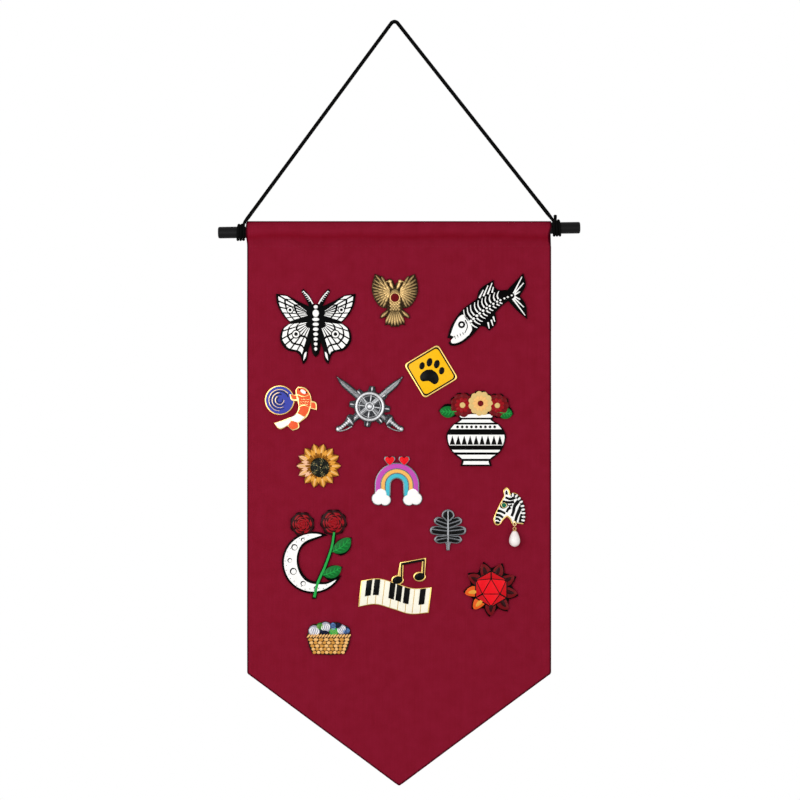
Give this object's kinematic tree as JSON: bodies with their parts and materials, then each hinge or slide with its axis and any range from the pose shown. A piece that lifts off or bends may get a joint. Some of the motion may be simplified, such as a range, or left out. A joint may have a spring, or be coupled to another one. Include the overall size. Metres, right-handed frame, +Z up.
{
  "type": "pin badge banner",
  "caption": "Hanging canvas pennant for showing pin badges: a dowel in the top pocket, a cord wound on its ends, and enamel badges held by rubber clutches.",
  "frame": {"origin": "the hang point, under the cord's middle where it goes over a nail or hook", "axes": "+Z up, +X to the viewer's right along the dowel, the front with the badges faces -Y"},
  "size_m": [0.25, 0.0174, 0.5278],
  "materials": {
    "canvas": "woven cotton canvas",
    "black_wood": "black painted dowel",
    "black_cord": "twisted waxed cord",
    "clutch_rubber": "matte moulded",
    "black_nickel": "black nickel",
    "bright_gold": "bright gold plate",
    "antique_gold": "antique gold",
    "pewter": "antique silver",
    "red_stone": "polished paste stone",
    "green_stone": "polished paste stone",
    "pearl": "imitation pearl"
  },
  "bodies": {
    "hanger": {"hanging_cord": "black_cord", "left_cord_turns": "black_cord", "right_cord_turns": "black_cord"},
    "rod": {"dowel_rod": "black_wood"},
    "banner": {"front_panel": "canvas", "back_panel": "canvas", "rod_pocket": "canvas"},
    "moth_badge": {"moth_badge": "black_nickel"},
    "moth_clutch_a": {"moth_clutch_a": "clutch_rubber"},
    "moth_clutch_b": {"moth_clutch_b": "clutch_rubber"},
    "bird_badge": {"bird_badge": "antique_gold", "bird_gem": "red_stone"},
    "bird_clutch": {"bird_clutch": "clutch_rubber"},
    "fish_badge": {"fish_badge": "black_nickel"},
    "fish_clutch_a": {"fish_clutch_a": "clutch_rubber"},
    "fish_clutch_b": {"fish_clutch_b": "clutch_rubber"},
    "sign_badge": {"sign_badge": "bright_gold"},
    "sign_clutch": {"sign_clutch": "clutch_rubber"},
    "koi_badge": {"koi_badge": "bright_gold"},
    "koi_clutch": {"koi_clutch": "clutch_rubber"},
    "cutlass_badge": {"cutlass_badge": "pewter"},
    "cutlass_clutch_a": {"cutlass_clutch_a": "clutch_rubber"},
    "cutlass_clutch_b": {"cutlass_clutch_b": "clutch_rubber"},
    "bouquet_badge": {"bouquet_badge": "black_nickel"},
    "bouquet_clutch_a": {"bouquet_clutch_a": "clutch_rubber"},
    "bouquet_clutch_b": {"bouquet_clutch_b": "clutch_rubber"},
    "sunflower_badge": {"sunflower_badge": "antique_gold"},
    "sunflower_clutch": {"sunflower_clutch": "clutch_rubber"},
    "rainbow_badge": {"rainbow_badge": "pewter"},
    "rainbow_clutch": {"rainbow_clutch": "clutch_rubber"},
    "leaf_badge": {"leaf_badge": "pewter"},
    "leaf_clutch": {"leaf_clutch": "clutch_rubber"},
    "zebra_badge": {"zebra_badge": "antique_gold", "zebra_gem": "green_stone"},
    "zebra_clutch_a": {"zebra_clutch_a": "clutch_rubber"},
    "zebra_clutch_b": {"zebra_clutch_b": "clutch_rubber"},
    "moon_badge": {"moon_badge": "black_nickel"},
    "moon_clutch_a": {"moon_clutch_a": "clutch_rubber"},
    "moon_clutch_b": {"moon_clutch_b": "clutch_rubber"},
    "keyboard_badge": {"keyboard_badge": "bright_gold"},
    "keyboard_clutch_a": {"keyboard_clutch_a": "clutch_rubber"},
    "keyboard_clutch_b": {"keyboard_clutch_b": "clutch_rubber"},
    "dice_badge": {"dice_badge": "black_nickel"},
    "dice_clutch": {"dice_clutch": "clutch_rubber"},
    "basket_badge": {"basket_badge": "antique_gold"},
    "basket_clutch": {"basket_clutch": "clutch_rubber"},
    "drop_ring": {"drop_ring": "antique_gold"},
    "pearl_drop": {"pearl_drop": "pearl"}
  },
  "joints": [
    {"name": "rod_slide", "type": "slide", "parent": "hanger", "child": "rod", "axis": [0.9999, 0, 0.0138], "range_m": [0, 0.25]},
    {"name": "banner_swing", "type": "hinge", "parent": "hanger", "child": "banner", "pos_m": [0.0032, 0, -0.1433], "axis": [0.9999, 0, 0.0138], "range_deg": [-110, 45]},
    {"name": "moth_pull", "type": "slide", "parent": "banner", "child": "moth_badge", "axis": [0, -1, 0], "range_m": [0, 0.012]},
    {"name": "moth_clutch_a_off", "type": "slide", "parent": "banner", "child": "moth_clutch_a", "axis": [0, 1, 0], "range_m": [0, 0.008]},
    {"name": "moth_clutch_b_off", "type": "slide", "parent": "banner", "child": "moth_clutch_b", "axis": [0, 1, 0], "range_m": [0, 0.008]},
    {"name": "bird_turn", "type": "hinge", "parent": "banner", "child": "bird_clutch", "pos_m": [0.0003, 0, -0.19206], "axis": [0, 1, 0], "continuous": true},
    {"name": "bird_pull", "type": "slide", "parent": "bird_clutch", "child": "bird_badge", "axis": [0, -1, 0], "range_m": [0, 0.012]},
    {"name": "fish_pull", "type": "slide", "parent": "banner", "child": "fish_badge", "axis": [0, -1, 0], "range_m": [0, 0.012]},
    {"name": "fish_clutch_a_off", "type": "slide", "parent": "banner", "child": "fish_clutch_a", "axis": [0, 1, 0], "range_m": [0, 0.008]},
    {"name": "fish_clutch_b_off", "type": "slide", "parent": "banner", "child": "fish_clutch_b", "axis": [0, 1, 0], "range_m": [0, 0.008]},
    {"name": "sign_turn", "type": "hinge", "parent": "banner", "child": "sign_clutch", "pos_m": [0.02525, 0, -0.24091], "axis": [0, 1, 0], "continuous": true},
    {"name": "sign_pull", "type": "slide", "parent": "sign_clutch", "child": "sign_badge", "axis": [0, -1, 0], "range_m": [0, 0.012]},
    {"name": "koi_turn", "type": "hinge", "parent": "banner", "child": "koi_clutch", "pos_m": [-0.06946, 0, -0.26237], "axis": [0, 1, 0], "continuous": true},
    {"name": "koi_pull", "type": "slide", "parent": "koi_clutch", "child": "koi_badge", "axis": [0, -1, 0], "range_m": [0, 0.012]},
    {"name": "cutlass_pull", "type": "slide", "parent": "banner", "child": "cutlass_badge", "axis": [0, -1, 0], "range_m": [0, 0.012]},
    {"name": "cutlass_clutch_a_off", "type": "slide", "parent": "banner", "child": "cutlass_clutch_a", "axis": [0, 1, 0], "range_m": [0, 0.008]},
    {"name": "cutlass_clutch_b_off", "type": "slide", "parent": "banner", "child": "cutlass_clutch_b", "axis": [0, 1, 0], "range_m": [0, 0.008]},
    {"name": "bouquet_pull", "type": "slide", "parent": "banner", "child": "bouquet_badge", "axis": [0, -1, 0], "range_m": [0, 0.012]},
    {"name": "bouquet_clutch_a_off", "type": "slide", "parent": "banner", "child": "bouquet_clutch_a", "axis": [0, 1, 0], "range_m": [0, 0.008]},
    {"name": "bouquet_clutch_b_off", "type": "slide", "parent": "banner", "child": "bouquet_clutch_b", "axis": [0, 1, 0], "range_m": [0, 0.008]},
    {"name": "sunflower_turn", "type": "hinge", "parent": "banner", "child": "sunflower_clutch", "pos_m": [-0.05226, 0, -0.30603], "axis": [0, 1, 0], "continuous": true},
    {"name": "sunflower_pull", "type": "slide", "parent": "sunflower_clutch", "child": "sunflower_badge", "axis": [0, -1, 0], "range_m": [0, 0.012]},
    {"name": "rainbow_turn", "type": "hinge", "parent": "banner", "child": "rainbow_clutch", "pos_m": [0.00169, 0, -0.31216], "axis": [0, 1, 0], "continuous": true},
    {"name": "rainbow_pull", "type": "slide", "parent": "rainbow_clutch", "child": "rainbow_badge", "axis": [0, -1, 0], "range_m": [0, 0.012]},
    {"name": "leaf_turn", "type": "hinge", "parent": "banner", "child": "leaf_clutch", "pos_m": [0.03695, 0, -0.35024], "axis": [0, 1, 0], "continuous": true},
    {"name": "leaf_pull", "type": "slide", "parent": "leaf_clutch", "child": "leaf_badge", "axis": [0, -1, 0], "range_m": [0, 0.012]},
    {"name": "zebra_pull", "type": "slide", "parent": "banner", "child": "zebra_badge", "axis": [0, -1, 0], "range_m": [0, 0.012]},
    {"name": "zebra_clutch_a_off", "type": "slide", "parent": "banner", "child": "zebra_clutch_a", "axis": [0, 1, 0], "range_m": [0, 0.008]},
    {"name": "zebra_clutch_b_off", "type": "slide", "parent": "banner", "child": "zebra_clutch_b", "axis": [0, 1, 0], "range_m": [0, 0.008]},
    {"name": "moon_pull", "type": "slide", "parent": "banner", "child": "moon_badge", "axis": [0, -1, 0], "range_m": [0, 0.012]},
    {"name": "moon_clutch_a_off", "type": "slide", "parent": "banner", "child": "moon_clutch_a", "axis": [0, 1, 0], "range_m": [0, 0.008]},
    {"name": "moon_clutch_b_off", "type": "slide", "parent": "banner", "child": "moon_clutch_b", "axis": [0, 1, 0], "range_m": [0, 0.008]},
    {"name": "keyboard_pull", "type": "slide", "parent": "banner", "child": "keyboard_badge", "axis": [0, -1, 0], "range_m": [0, 0.012]},
    {"name": "keyboard_clutch_a_off", "type": "slide", "parent": "banner", "child": "keyboard_clutch_a", "axis": [0, 1, 0], "range_m": [0, 0.008]},
    {"name": "keyboard_clutch_b_off", "type": "slide", "parent": "banner", "child": "keyboard_clutch_b", "axis": [0, 1, 0], "range_m": [0, 0.008]},
    {"name": "dice_turn", "type": "hinge", "parent": "banner", "child": "dice_clutch", "pos_m": [0.06668, 0, -0.39099], "axis": [0, 1, 0], "continuous": true},
    {"name": "dice_pull", "type": "slide", "parent": "dice_clutch", "child": "dice_badge", "axis": [0, -1, 0], "range_m": [0, 0.012]},
    {"name": "basket_turn", "type": "hinge", "parent": "banner", "child": "basket_clutch", "pos_m": [-0.04535, 0, -0.42484], "axis": [0, 1, 0], "continuous": true},
    {"name": "basket_pull", "type": "slide", "parent": "basket_clutch", "child": "basket_badge", "axis": [0, -1, 0], "range_m": [0, 0.012]},
    {"name": "ring_swing", "type": "hinge", "parent": "zebra_badge", "child": "drop_ring", "pos_m": [0.08272, -0.0048, -0.34653], "axis": [0, 1, 0], "range_deg": [-35, 35]},
    {"name": "pearl_swing", "type": "hinge", "parent": "drop_ring", "child": "pearl_drop", "pos_m": [0.08272, -0.0048, -0.34883], "axis": [0, 1, 0], "range_deg": [-35, 35]}
  ]
}
